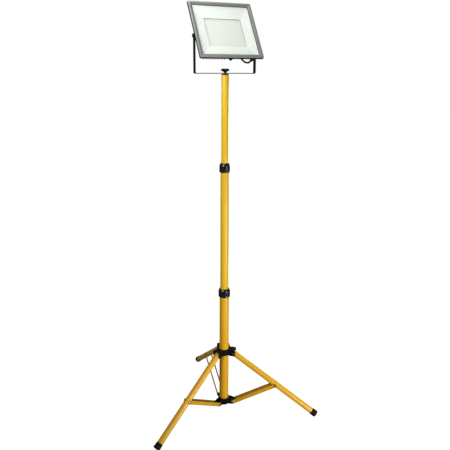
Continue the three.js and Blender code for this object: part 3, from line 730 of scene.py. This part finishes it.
# ---------- mast
def tube(name, outer, z0, z1, body, look):
    r, bore = outer / 2, outer / 2 - TUBE_WALL
    shape = turned([(bore, z0), (r, z0), (r, z1), (bore, z1)], 0.4, 128)
    piece(f"{name}_painted", shape, MAST, body, look, "yellow_steel", [name])


def collar(name, radius, od, inner_od, z0):
    """A twist-lock collar with a sloping shoulder and twelve shallow flutes."""
    bore, neck, top = od / 2 + 1.8, inner_od / 2 + 0.6, z0 + COLLAR_H

    def flute(r, z, t):
        low, high = z0 + 3, z0 + 24
        if r < radius - 1.2 or not low < z < high:
            return r
        ends = min(1, (z - low) / 2.5, (high - z) / 2.5)
        wave = max(0, math.cos(12 * t)) ** 1.5
        return r - 0.8 * wave * ends

    profile = [(bore, z0), (radius - 1.3, z0, 0.5), (radius - 0.2, z0 + 1.4, 0.6),
               (radius, z0 + 3), (radius, z0 + 23, 1.6), (radius - 1.2, z0 + 26.4, 1.6),
               (neck + 2.4, top - 0.4, 1), (neck + 1.4, top, 0.4), (neck, top, 0.3),
               (neck, z0 + 27.4), (bore, z0 + 23.6)]
    shape = turned(profile, 0.5, 192, flute, 1.0)
    piece(f"{name}_grip", shape, MAST, name, GRIP_NYLON, "black_plastic", [name], 50)


def lock_sleeve(name, od, inner_od, top, z0, body):
    """The fixed part of a twist lock, on the end of the outer tube, all inside its collar."""
    outer, grip = od / 2 + 1.5, inner_od / 2 + 0.35
    profile = [(od / 2 + 0.15, z0 + 0.6), (outer, z0 + 0.6, 0.4), (outer, top + 7),
               (outer - 2.6, top + 10, 0.4), (grip, top + 10), (grip, top + 0.3),
               (od / 2 + 0.15, top + 0.3)]
    piece(f"{name}_moulded", turned(profile, 0.5, 96), MAST, body, BLACK_NYLON,
          "black_plastic", [name])


def mast_cap():
    top = TOP_Z1
    shape = turned([(4.3, top - 17), (10.6, top - 17), (10.6, top + 0.3, 0.1),
                    (12.3, top + 0.3, 0.3), (12.3, top + 2.6, 0.9), (11.2, top + 3.5, 0.6),
                    (4.3, top + 3.5, 0.3)], 0.5, 96)
    piece("mast_cap_moulded", shape, MAST, "top_mast", BLACK_NYLON, "black_plastic", ["mast_cap"])


tube("lower_tube", LOWER_OD, LOWER_Z0, LOWER_Z1, "base", YELLOW_LOW)
tube("mid_tube", MID_OD, MID_Z0, MID_Z1, "mid_mast", YELLOW_MID)
tube("top_tube", TOP_OD, TOP_Z0, TOP_Z1, "top_mast", YELLOW_TOP)
collar("lower_collar", 21.6, LOWER_OD, MID_OD, LOWER_COLLAR_Z)
collar("upper_collar", 19, MID_OD, TOP_OD, UPPER_COLLAR_Z)
lock_sleeve("lower_lock_sleeve", LOWER_OD, MID_OD, LOWER_Z1, LOWER_COLLAR_Z, "base")
lock_sleeve("upper_lock_sleeve", MID_OD, TOP_OD, MID_Z1, UPPER_COLLAR_Z, "mid_mast")
mast_cap()
carried(BLACK_NYLON, "mast_end_plug", "mid_tube_guide", "top_tube_guide")


# ---------- hub and spider
def around(*shapes):
    """The same clevis at each of the three legs, drawn pointing along +X."""
    return [moved(s, turn(angle, "Z")) for angle in LEG_ANGLES.values() for s in shapes]


def leg_hub():
    """The sliding hub: a barrel with three clevises, each closed on top, and a small rib."""
    bore, barrel, reach = LOWER_OD / 2 + 0.35, 22.2, 44.5
    core = turned([(bore, HUB_Z0), (barrel, HUB_Z0, 1.2), (barrel, HUB_Z1, 1.2),
                   (bore, HUB_Z1)], 0.4, 96)
    outline = rounded([(19, HUB_Z0), (24, HUB_Z0, 2), (27, HUB_Z0 - 1.8, 3),
                       (reach, HUB_Z0 - 1.8, 4), (reach, HUB_Z1, 5), (19, HUB_Z1)], 0.3,
                      steps=6)
    plates = [plate(outline, side * 11.5, side * 14.7, 0.6) for side in (1, -1)]
    web = box(20, reach - 0.9, -12.4, 12.4, HUB_Z1 - 3, HUB_Z1 - 0.1, 0.5)
    boss = rod(6.2, 14.2, 15, 0.3)
    bosses = [moved(boss, shift(HUB_PIN_R, 0, HUB_PIN_Z) @ way) for way in (ALONG_Y, AGAINST_Y)]
    rib = plate([(18.2, HUB_Z1 - 5), (26.5, HUB_Z1 - 5), (26.5, HUB_Z1 - 0.5),
                 (19.4, HUB_Z1 + 17), (18.2, HUB_Z1 + 17)], -2.2, 2.2, 0.7)
    shape = joined(core, *around(*plates, web, *bosses), moved(rib, turn(5, "Z")))
    piece("leg_hub_moulded", shape, MAST, "hub", BLACK_NYLON, "black_plastic", ["leg_hub"],
          fused=0.55)


def bottom_spider():
    """The fixed spider at the foot of the mast, with a clevis for each brace."""
    bore = LOWER_OD / 2 + 0.25
    core = turned([(16.9, 15), (20, 15), (21.8, 17), (21.8, 41, 1.2), (bore, 41, 0.4),
                   (bore, 21.7), (16.9, 21.7)], 0.5, 96)
    outline = rounded([(19, 17), (19, 40), (30, 39, 8), (37, 36, 8), (43, 33, 6), (45.5, 29, 4),
                       (45.5, 24, 4), (43, 20, 4), (38, 17, 4)], 0.3, steps=6)
    plates = [plate(outline, s * 7.6, s * 11.1, 0.6) for s in (1, -1)]
    web = box(20, 30, -8.4, 8.4, 17.2, 24, 0.6)
    shape = joined(core, *around(*plates, web))
    piece("bottom_spider_moulded", shape, MAST, "base", BLACK_NYLON, "black_plastic",
          ["bottom_spider"], fused=0.55)


leg_hub()
bottom_spider()


def clevis_pin(half, head, tall):
    """A headed pin: a domed head one end, a peened and washered one the other."""
    shank, washer = 2.95, head + 0.2
    return turned([(0, -half - tall), (head - 1.6, -half - tall, 1), (head, -half - 0.6, 0.7),
                   (head, -half, 0.2), (shank, -half, 0.1), (shank, half, 0.1),
                   (washer, half, 0.2), (washer, half + 0.7, 0.3), (3.4, half + 0.8, 0.1),
                   (3.1, half + tall, 0.8), (0, half + tall)], 0.4, 48)


# ---------- legs and braces
def leg(name):
    """A tube leg with its ribbed rubber foot and its pin in the hub."""
    place = LEG[name]
    bore, low, high = LEG_R - LEG_WALL, -7.5, LEG_LEN - 5
    shape = turned([(bore, low), (LEG_R, low), (LEG_R, high), (bore, high)], 0.4, 96)
    # The rear leg takes the darker enamel as painted shade, as it faces away from the light.
    look = YELLOW_SHADE if name == "rear" else YELLOW_LOW
    piece(f"leg_{name}_painted", moved(shape, ALONG_X), place, f"leg_{name}", look,
          "yellow_steel", [f"leg_{name}"])

    def rib(r, z, t):
        if LEG_LEN - 18 < z < LEG_LEN - 3 and r > 12:
            return r - 0.28 * (0.5 + 0.5 * math.cos((z - LEG_LEN) * 2 * math.pi / 3))
        return r

    cap = turned([(0, LEG_LEN), (12, LEG_LEN, 1.2), (12.8, LEG_LEN - 1.4, 0.8),
                  (12.8, LEG_LEN - 5, 3), (12.35, LEG_LEN - 21, 0.8), (11.9, LEG_LEN - 22, 0.3),
                  (11.12, LEG_LEN - 22), (11.12, LEG_LEN - 4.8), (0, LEG_LEN - 4.8)],
                 0.4, 96, rib, 0.75)
    # The floor cuts the foot's sole flat.
    below = moved(box(-90, 90, -40, 40, -80, 0, 0),
                  place.inverted() @ BAY[name] @ shift(FOOT_R))
    foot = combine(moved(cap, ALONG_X), cut=[below])
    piece(f"foot_{name}_rubber", foot, place, f"leg_{name}", FOOT_RUBBER, "black_rubber",
          [f"foot_{name}"], 40)
    pin = moved(clevis_pin(15, 5, 2), ALONG_Y)
    piece(f"hub_pin_{name}_zinc", pin, BAY[name] @ shift(HUB_PIN_R, 0, HUB_PIN_Z), "hub",
          DARK_STEEL, "zinc_steel", [f"hub_pin_{name}"])


def brace(name):
    """Two strips either side of the leg, with their half rivets and their pin in the spider."""
    place = BRACE[name]
    outline = stadium(BRACE_LEN, BRACE_W / 2)
    for letter, side in (("a", -1), ("b", 1)):
        y0, y1 = sorted((side * BRACE_IN, side * (BRACE_IN + BRACE_T)))
        strip = plate(outline, y0, y1, 0.35)
        # Both strips take the darker enamel as painted shade.
        made = piece(f"brace_{name}_{letter}_painted", strip, place, f"brace_{name}", YELLOW_SHADE,
                     "yellow_steel", [f"brace_{name}_{letter}"], looks=[YELLOW_INNER_SHADE])
        # The strip's inner face gets darker enamel as painted shade, where the other strip shades
        # it.
        inward = place.to_3x3() @ Vector((0, -side, 0))
        for face in made.data.polygons:
            if face.normal.dot(inward) > 0.9:
                face.material_index = 1
        # The half rivet's head sits outside the strip, and its shank goes into it.
        head = turned([(0, 0.1), (2.9, 0.1), (2.9, BRACE_T + 0.1, 0), (5.4, BRACE_T + 0.1, 0.3),
                       (5, BRACE_T + 1.3, 0.8), (3, BRACE_T + 2.3, 1.4), (0, BRACE_T + 2.6)],
                      0.2, 48)
        flip = ALONG_Y if side > 0 else AGAINST_Y
        piece(f"rivet_{name}_{letter}_zinc", head,
              place @ shift(BRACE_LEN, side * BRACE_IN, 0) @ flip, f"brace_{name}", YELLOW_ZINC,
              "zinc_steel", [f"rivet_{name}_{letter}"])
    pin = moved(clevis_pin(BRACE_IN + BRACE_T + 0.1, 5, 2.1), ALONG_Y)
    piece(f"spider_pin_{name}_zinc", pin, BAY[name] @ shift(FOOT_PIN_R, 0, FOOT_PIN_Z), "base",
          YELLOW_ZINC, "zinc_steel", [f"spider_pin_{name}"])


for side_name in LEG_ANGLES:
    leg(side_name)
    brace(side_name)


# ---------- yoke
def yoke_bracket():
    """A bent strap with round eyes at the pivots, a stud hole and two slots."""
    top, u, t = PIVOT_Z - BAR_Z, YOKE_HALF, YOKE_T
    outline = rounded([(-u, top), (-u, 0, 6), (u, 0, 6), (u, top), (u - t, top), (u - t, t, 3),
                       (-u + t, t, 3), (-u + t, top)], 0, steps=14)
    strap = plate(outline, -YOKE_W / 2, YOKE_W / 2, 0.5)
    eyes = [moved(rod(YOKE_W / 2, 0, t, 0.4, 64), shift(x, 0, top) @ ALONG_X)
            for x in (-u, u - t)]
    bores = [moved(rod(4.3, -6, 6), shift(x, 0, top) @ ALONG_X) for x in (-u + 1.5, u - 1.5)]
    bores.append(rod(4.5, -10, 10))
    for x in (-34, 26):
        bores.append(moved(plate(stadium(8, 3), -10, 10, 0), shift(x) @ AGAINST_Y))
    shape = combine(strap, eyes, bores)
    made = piece("yoke_bracket_coated", shape, YOKE, "yoke", BLACK_STRIP, "black_steel",
                 ["yoke_bracket"], looks=[EDGE_HIGHLIGHT])
    # The crossbar's front and back edges are painted pale grey as a highlight where light catches
    # them.
    for face in made.data.polygons:
        x, _, z = face.center / MM
        if z < BAR_Z + t and abs(x - MAST_X) < u - 5 and abs(face.normal.y) > 0.5:
            face.material_index = 1


def clamp_knob():
    """A six-lobed knob on the stud, with the bore in its underside."""
    def lobe(r, z, t):
        if z < 5.3 or r < 8:
            return r
        share = min(1, (r - 8) / 3)
        return r + share * (2.2 * (0.5 + 0.5 * math.cos(6 * t)) ** 0.8 - 0.2)

    shape = turned([(0, 11), (4.15, 11), (4.15, 0.3, 0), (5.3, 0.3, 0.2), (5.3, 1.4, 0.5),
                    (5.8, 3, 1.4), (7.6, 4.4, 1.2), (10.5, 5.1, 1), (12.4, 6.2, 1.4),
                    (12.4, 11.6, 1.6), (10.4, 13, 1.4), (6, 13.5, 0.6), (5.2, 12.9, 0.4),
                    (0, 13)], 0.4, 144, lobe, 0.7)
    piece("clamp_knob_moulded", shape, YOKE @ shift(z=YOKE_T), "clamp_knob", KNOB_NYLON,
          "black_plastic", ["clamp_knob"], 50)


yoke_bracket()
clamp_knob()
carried(ZINC, "clamp_stud")


# ---------- lamp
FINS, FIN_X, FIN_PITCH = 18, -90, 10.6
BREATHER_X = 3


def lamp_piece(name, shape, look, slot, nodes=(), place=LAMP, **more):
    return piece(name, shape, place, "lamp", look, slot, nodes, **more)


def front_bezel():
    """A thin coated frame: rounded rim, flat land, bead, then a slope down to the glass."""
    rings = [(0.4, 2.8, RIM), (0, 3, RIM - 0.3), (0, 3, 1.1), (0.5, 2.8, 0.5), (1.2, 2.6, 0.12),
             (2.2, 2.4, 0), (11.2, 3, 0.05), (11.9, 3, 0.45), (12.7, 3, 0.55), (23.8, 4, 1.75),
             (24.7, 4, 2), (25, 4, RIM)]
    shape = loft([lamp_ring(less, less, r, depth) for less, r, depth in rings], True)
    lamp_piece("front_bezel_coated", shape, GREY_CAST, "grey_casting", ["front_bezel"])


def rear_housing():
    """The casting: flange, pan, fins, terminal pad, side bosses, screw bosses and eyelet."""
    y = FRONT
    shell = loft([
        lamp_ring(0.4, 0.4, 3, RIM + 0.1), lamp_ring(0, 0, 3, RIM + 0.3),
        lamp_ring(0, 0, 3, 8.6), lamp_ring(0.8, 0.8, 3, 9.1), lamp_ring(2, 2, 3, 9.2),
        lamp_ring(13, 10, 5, 9.6), lamp_ring(16.6, 16.4, 6.4, 10), lamp_ring(18.4, 19, 7, 11),
        lamp_ring(20, 26.4, 7, 16), lamp_ring(21, 27.4, 7.4, 22.2),
        lamp_ring(23, 28.2, 7.6, 23.6), lamp_ring(28, 31, 8, 24.5)])
    rebate = loft([lamp_ring(6, 6, 2.6, -1), lamp_ring(6, 6, 2.6, 6.6)])
    pan = loft([lamp_ring(24, 24, 5, 5), lamp_ring(24.5, 25, 5, 8.2),
                lamp_ring(30, 33, 6, 13), lamp_ring(34, 35, 8, 21)])
    add = []
    for i in range(FINS):
        x = FIN_X + i * FIN_PITCH
        low = PAD_TOP - 4 if x > 0 else PAD_LOW + 0.6 if x > -8 else FIN_LOW
        outline = [(x - 1.9, low), (x + 1.9, low), (x + 1.9, FIN_TOP), (x - 1.9, FIN_TOP)]
        points, faces = plate(rounded(outline, 1.2, steps=3), y + 18, BACK, 0)
        # A fin tapers towards its tip.
        tapered = [p if p.y < BACK - 1 else Vector((x + (p.x - x) * 0.68, p.y, p.z))
                   for p in points]
        add.append((tapered, faces))
    add.append(box(-1, 101.5, y + 12, BACK, PAD_LOW, PAD_TOP, 2.2))
    for x in (102.5, -102.5):
        add.append(moved(rod(9.5, -0.7, 0.7, 0.1, 64), shift(x) @ ALONG_X))
    for bx, bz in ((-96, MID_H + 80), (-96, MID_H - 80), (96, MID_H + 80)):
        add.append(moved(turned([(0, 0), (4.6, 0), (4.2, 6), (0, 6)], 0.4, 36),
                         shift(bx, y + 19.6, bz) @ ALONG_Y))
    add.append(tie_eyelet())
    side_bore = rod(4.2, -12, 12, segments=36)
    cut = [rebate, pan,
           moved(side_bore, shift(101) @ ALONG_X), moved(side_bore, shift(-101) @ ALONG_X),
           moved(rod(6.2, y + 16, y + 40), shift(GLAND_X, 0, GLAND_Z) @ ALONG_Y),
           moved(rod(4.4, -3, 12.6, segments=36), shift(BREATHER_X, y + 24, PAD_LOW))]
    shape = combine(shell, add, cut)
    lamp_piece("rear_housing_cast", shape, BLACK_CAST, "black_casting", ["rear_housing"],
               bevel=0.35)


def tie_eyelet():
    """The low bridge over the fins that the coil's strap passes under."""
    z0 = COIL_Z + COIL_MEAN - 3
    bridge = [(COIL_X - 6.2, BACK - 8), (COIL_X - 6.2, BACK + 3.4), (COIL_X + 7.6, BACK + 3.4),
              (COIL_X + 7.6, BACK - 8), (COIL_X + 3.5, BACK - 8), (COIL_X + 3.5, BACK + 1.8),
              (COIL_X - 3.5, BACK + 1.8), (COIL_X - 3.5, BACK - 8)]
    return moved(plate(rounded(bridge, 0.8, steps=3), -z0 - 6, -z0, 0.4), ALONG_Y)


def front_glass():
    """The pane, with its edges eased."""
    shape = loft([lamp_ring(7.4, 7.4, 2.2, 5.4), lamp_ring(7, 7, 2.4, 5.2),
                  lamp_ring(7, 7, 2.4, 2.9), lamp_ring(7.6, 7.6, 2.2, 2.6)])
    lamp_piece("front_glass_pane", shape, GLASS, "clear_glass", ["front_glass"])


def reflector():
    """A white tray that slopes in to the LED window, with the window's cut wall behind it."""
    shape = loft([lamp_ring(25, 25, 5, 6.5), lamp_ring(28, 28, 5, 6.5),
                  lamp_ring(29.6, 29.6, 5, 6.9), window_ring(1.4, 2.4, 10.2),
                  window_ring(0.4, 2.2, 10.5), window_ring(0, 2, 10.9),
                  window_ring(0, 2, 15.7), window_ring(1.4, 2, 15.7),
                  lamp_ring(27, 27, 5, 7.8)], True)
    made = lamp_piece("reflector_lacquered", shape, REFLECTOR, "white_reflector",
                      ["reflector"], crease=20, looks=[STEP_WALL_SHADE])
    # The window's cut wall is painted grey as shade in the recess.
    upright = LAMP.inverted()
    for face in made.data.polygons:
        u, v, w = upright @ (face.center / MM)
        facing = abs((upright.to_3x3() @ face.normal).y)
        inside = abs(u) < (WINDOW_W + 3) / 2 and abs(w - WINDOW_MID) < (WINDOW_H + 3) / 2
        if inside and facing < 0.4 and v > FRONT + 10.4:
            face.material_index = 1


def led_board():
    """The board behind the window, and its grid of LEDs."""
    board = loft([window_ring(18, 3, 17.8), window_ring(18, 3, 16.1),
                  window_ring(17.8, 3, 16)])
    lamp_piece("led_board_masked", board, BOARD, "white_board", ["led_board"])
    chips = []
    columns, rows, pitch_x, pitch_z, half = 15, 11, 8.6, 9.2, 1.8
    for i in range(columns):
        for k in range(rows):
            x = (i - (columns - 1) / 2) * pitch_x
            z = WINDOW_MID + (k - (rows - 1) / 2) * pitch_z
            chips.append(box(x - half, x + half, FRONT + 15.3, FRONT + 16, z - half, z + half,
                             0.3))
    lamp_piece("led_chips", joined(*chips), CHIP, "white_board")


front_bezel()
rear_housing()
front_glass()
reflector()
led_board()
carried(SEAL_RUBBER, "glass_seal")


def hexagon(across, z0, z1, edge):
    """A six-sided prism along Z."""
    r = across / math.sqrt(3)
    corners = [(r * math.cos(t), r * math.sin(t)) for t in (k * math.pi / 3 for k in range(6))]
    return moved(plate(rounded(corners, 0.5, steps=3), z0, z1, edge), AGAINST_Y)


def lamp_hardware():
    """The pivot bolts, each with a hexagon socket, and their washers."""
    for name, way in (("right", 0), ("left", 180)):
        place = LAMP @ turn(way, "Z") @ ALONG_X
        u = YOKE_HALF
        bolt = turned([(0, 93), (4, 93, 0.8), (4, u + 0.3, 0), (7.2, u + 0.3, 0.3),
                       (7.2, u + 2, 1), (6, u + 3.8, 1.4), (3, u + 4.2, 0.4), (0, u + 4.2)],
                      0.3, 72)
        socket = hexagon(4.4, u + 1.4, u + 8, 0)
        lamp_piece(f"pivot_bolt_{name}_zinc", combine(bolt, cut=[socket]), BLACK_OXIDE,
                   "black_steel", [f"pivot_bolt_{name}"], place)
        washer = turned([(4.4, 103.5), (6.4, 103.5, 0.3), (6.4, 105.7, 0.3), (4.4, 105.7)],
                        0.2, 72)
        lamp_piece(f"pivot_washer_{name}_nylon", washer, BLACK_NYLON, "black_plastic",
                   [f"pivot_washer_{name}"], place)


def cable_entry():
    """The cable gland with its nut, the lead's strain relief, and the breather plug."""
    place = LAMP @ shift(GLAND_X, BACK, GLAND_Z) @ ALONG_Y
    body = turned([(3.5, -12), (6, -12, 0.4), (6, 0.4, 0.1), (8.2, 0.4, 0.4), (8.2, 3.6, 0.5),
                   (6.4, 3.7, 0.1), (6.4, 8, 0.3), (3.5, 8)], 0.3, 72)
    nut = hexagon(15.4, 0.35, 3.75, 0.5)
    bore = rod(3.5, -20, 20, segments=48)
    lamp_piece("cable_gland_nylon", combine(body, [nut], [bore]), KNOB_NYLON, "black_plastic",
               ["cable_gland"], place)

    def ribs(r, z, t):
        if 4.6 < z < 11 and r > 7.4:
            return r - 0.5 * max(0, math.cos(14 * t)) * min(1, z - 4.6, 11 - z)
        if 15.5 < z < 23.4 and r > 4:
            return r - 0.35 * (0.5 - 0.5 * math.cos((z - 15.5) * math.pi))
        return r

    relief = turned([(6.7, 3.9), (8, 3.9, 0.3), (8, 11.4, 1), (7, 13.8, 1.4), (5.9, 15.2, 0.8),
                     (4.4, 23.6, 0.5), (3.15, 24), (3.15, 8.4), (6.7, 8.4)], 0.3, 84, ribs, 0.4)
    lamp_piece("cable_strain_relief", relief, KNOB_NYLON, "black_plastic", ["gland_nut"], place)

    def vents(r, z, t):
        if -6.6 < z < -4.2 and r > 5:
            return r - 0.6 * max(0, math.cos(8 * t)) ** 3
        return r

    plug_shape = turned([(0, -8), (3.4, -7.8, 1.6), (5.6, -6, 1.2), (6, -3.8, 0.4),
                         (6.8, -3.4, 0.3), (6.8, -0.3, 0.3), (4.2, -0.3, 0.1), (4.2, 6, 0.5),
                         (0, 6)], 0.3, 96, vents, 0.5)
    lamp_piece("breather_plug_nylon", plug_shape, BLACK_NYLON, "black_plastic",
               ["breather_plug"], LAMP @ shift(BREATHER_X, FRONT + 24, PAD_LOW))


lamp_hardware()
cable_entry()


# ---------- stage
FLOOR_TONE, FLOOR_GLOW = 0.3, 0.97     # the glow is seen by the camera only
ROOM_LIGHT, ROOM_SEEN = 0.19, 1.0      # what the room gives, and what the camera sees of it


def floor_look():
    material = bpy.data.materials.new("pale_floor")
    material.use_nodes = True
    nodes, links = material.node_tree.nodes, material.node_tree.links
    shader = nodes["Principled BSDF"]
    shader.inputs["Base Color"].default_value = (FLOOR_TONE, FLOOR_TONE, FLOOR_TONE, 1)
    shader.inputs["Roughness"].default_value = 0.9
    shader.inputs["Emission Color"].default_value = (1, 1, 1, 1)
    seen = nodes.new("ShaderNodeLightPath").outputs["Is Camera Ray"]
    glow = nodes.new("ShaderNodeMath")
    glow.operation = "MULTIPLY"
    glow.inputs[1].default_value = FLOOR_GLOW
    links.new(seen, glow.inputs[0])
    links.new(glow.outputs[0], shader.inputs["Emission Strength"])
    return material


def make_stage():
    size = 14
    mesh = bpy.data.meshes.new("floor")
    mesh.from_pydata([(-size, -size, 0), (size, -size, 0), (size, size, 0), (-size, size, 0)], [],
                     [(0, 1, 2, 3)])
    mesh.materials.append(floor_look())
    floor = bpy.data.objects.new("floor", mesh)
    bpy.context.collection.objects.link(floor)


def softbox(name, at, look_at, width, height, watts, spread=180):
    """A soft light in metres, watts and degrees, which the camera doesn't see."""
    data = bpy.data.lights.new(name, "AREA")
    data.shape = "RECTANGLE"
    data.size, data.size_y = width, height
    data.energy = watts
    data.spread = math.radians(spread)
    lamp = bpy.data.objects.new(name, data)
    lamp.location = at
    lamp.rotation_euler = (Vector(look_at) - Vector(at)).to_track_quat("-Z", "Y").to_euler()
    lamp.visible_camera = False
    bpy.context.collection.objects.link(lamp)


def make_light():
    """A pale room, a key light, a strip for the tubes' highlights, and three fills."""
    world = bpy.data.worlds.new("studio")
    bpy.context.scene.world = world
    world.use_nodes = True
    nodes, links = world.node_tree.nodes, world.node_tree.links
    seen = nodes.new("ShaderNodeLightPath").outputs["Is Camera Ray"]
    level = nodes.new("ShaderNodeMapRange")
    level.inputs[3].default_value = ROOM_LIGHT
    level.inputs[4].default_value = ROOM_SEEN
    links.new(seen, level.inputs[0])
    sky = nodes["Background"]
    sky.inputs["Color"].default_value = (1, 1, 1, 1)
    links.new(level.outputs[0], sky.inputs["Strength"])
    softbox("key_high_left", (-1.75, -1.15, 1.8), (0, -0.05, 1.2), 0.6, 0.8, 5.5, 70)
    softbox("strip_right", (0.62, -1.45, 0.32), (0, 0, 0.45), 0.4, 0.64, 6.2, 110)
    softbox("top_fill", (0.36, -0.42, 3.0), (0, 0, 0.5), 0.5, 0.5, 7)
    softbox("lamp_kicker", (-0.42, -0.5, 1.66), (-0.08, -0.06, 1.46), 0.2, 0.2, 0.4, 80)
    softbox("rear_fill", (1.9, 1.5, 0.75), (0, 0, 1), 0.9, 0.9, 8, 120)
    bpy.context.scene.view_settings.view_transform = "Standard"


make_stage()
make_light()
